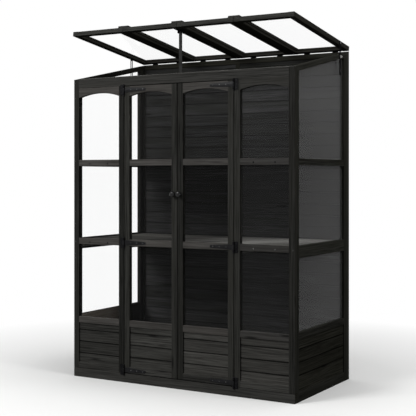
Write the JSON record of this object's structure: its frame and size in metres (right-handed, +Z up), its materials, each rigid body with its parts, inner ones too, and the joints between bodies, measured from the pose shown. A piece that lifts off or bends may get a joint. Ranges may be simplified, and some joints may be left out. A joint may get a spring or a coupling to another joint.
{
  "type": "wooden mini greenhouse",
  "caption": "Narrow upright greenhouse cabinet with glazed double doors, boarded base, inner shelves and a sloping glazed lid propped open on stays.",
  "frame": {"origin": "on the ground, under the middle of the bounding box", "axes": "+X to the right along the front as seen by someone facing the doors, +Y from the doors to the back wall, +Z up"},
  "size_m": [1.4736, 0.7814, 2.0566],
  "materials": {
    "stained_wood": "near-black stained softwood, satin",
    "clear_pane": "clear sheet, polished",
    "black_metal": "black powder coat, satin",
    "grey_metal": "zinc-plated strip, dull",
    "knob": "black, glossy"
  },
  "bodies": {
    "cabinet": {"front_posts": "stained_wood", "front_beam": "stained_wood", "front_sill": "stained_wood", "left_bay_rails": "stained_wood", "left_bay_arch_rail": "stained_wood", "left_bay_boards": "stained_wood", "left_bay_panes": "clear_pane", "right_bay_rails": "stained_wood", "right_bay_arch_rail": "stained_wood", "right_bay_boards": "stained_wood", "right_bay_panes": "clear_pane", "left_wall_frame": "stained_wood", "left_wall_boards": "stained_wood", "left_wall_panes": "clear_pane", "right_wall_frame": "stained_wood", "right_wall_boards": "stained_wood", "right_wall_panes": "clear_pane", "back_posts": "stained_wood", "back_wall_rails": "stained_wood", "back_wall_boards": "stained_wood", "lower_shelf": "stained_wood", "upper_shelf": "stained_wood", "shelf_bearers": "stained_wood", "door_stop": "stained_wood", "door_catches": "knob", "door_hinge_leaves": "black_metal", "door_hinge_pins": "black_metal", "lid_hinge_wall_leaves": "black_metal", "lid_hinge_pins": "black_metal", "stay_clamp_screws": "grey_metal", "prop_keeper": "grey_metal", "prop_clamp": "grey_metal"},
    "lid": {"lid_stiles": "stained_wood", "lid_rails": "stained_wood", "lid_battens": "stained_wood", "lid_panes": "clear_pane", "lid_hinge_leaves": "black_metal", "stay_pivot_screws": "grey_metal", "prop_bracket": "grey_metal"},
    "left_stay": {"left_lid_stay": "grey_metal"},
    "right_stay": {"right_lid_stay": "grey_metal"},
    "prop": {"lid_prop": "grey_metal"},
    "left_door": {"left_door_stiles": "stained_wood", "left_door_rails": "stained_wood", "left_door_arch_rail": "stained_wood", "left_door_boards": "stained_wood", "left_door_panes": "clear_pane", "left_door_knob": "knob", "left_door_hinge_straps": "black_metal", "left_door_catch_plate": "grey_metal"},
    "right_door": {"right_door_stiles": "stained_wood", "right_door_rails": "stained_wood", "right_door_arch_rail": "stained_wood", "right_door_boards": "stained_wood", "right_door_panes": "clear_pane", "right_door_knob": "knob", "right_door_hinge_straps": "black_metal", "right_door_catch_plate": "grey_metal"}
  },
  "joints": [
    {"name": "lid_hinge", "type": "hinge", "parent": "cabinet", "child": "lid", "pos_m": [0, 0.3862, 1.92256], "axis": [-1, 0, 0], "range_deg": [-19.5, 8]},
    {"name": "left_stay_pivot", "type": "hinge", "parent": "lid", "child": "left_stay", "pos_m": [-0.727, 0.24219, 1.955], "axis": [-1, 0, 0], "range_deg": [-6, 14]},
    {"name": "right_stay_pivot", "type": "hinge", "parent": "lid", "child": "right_stay", "pos_m": [0.727, 0.24219, 1.955], "axis": [-1, 0, 0], "range_deg": [-6, 14]},
    {"name": "prop_pivot", "type": "hinge", "parent": "lid", "child": "prop", "pos_m": [-0.008, -0.30967, 1.9994], "axis": [-1, 0, 0], "range_deg": [-8, 19.5]},
    {"name": "left_door_hinge", "type": "hinge", "parent": "cabinet", "child": "left_door", "pos_m": [-0.3615, -0.3641, 0.806], "axis": [0, 0, -1], "range_deg": [0, 165]},
    {"name": "right_door_hinge", "type": "hinge", "parent": "cabinet", "child": "right_door", "pos_m": [0.3615, -0.3641, 0.806], "axis": [0, 0, 1], "range_deg": [0, 165]}
  ],
  "couplings": [
    {"joint": "left_stay_pivot", "follows": "lid_hinge", "ratio": -0.7},
    {"joint": "right_stay_pivot", "follows": "lid_hinge", "ratio": -0.7},
    {"joint": "prop_pivot", "follows": "lid_hinge", "ratio": -1}
  ]
}
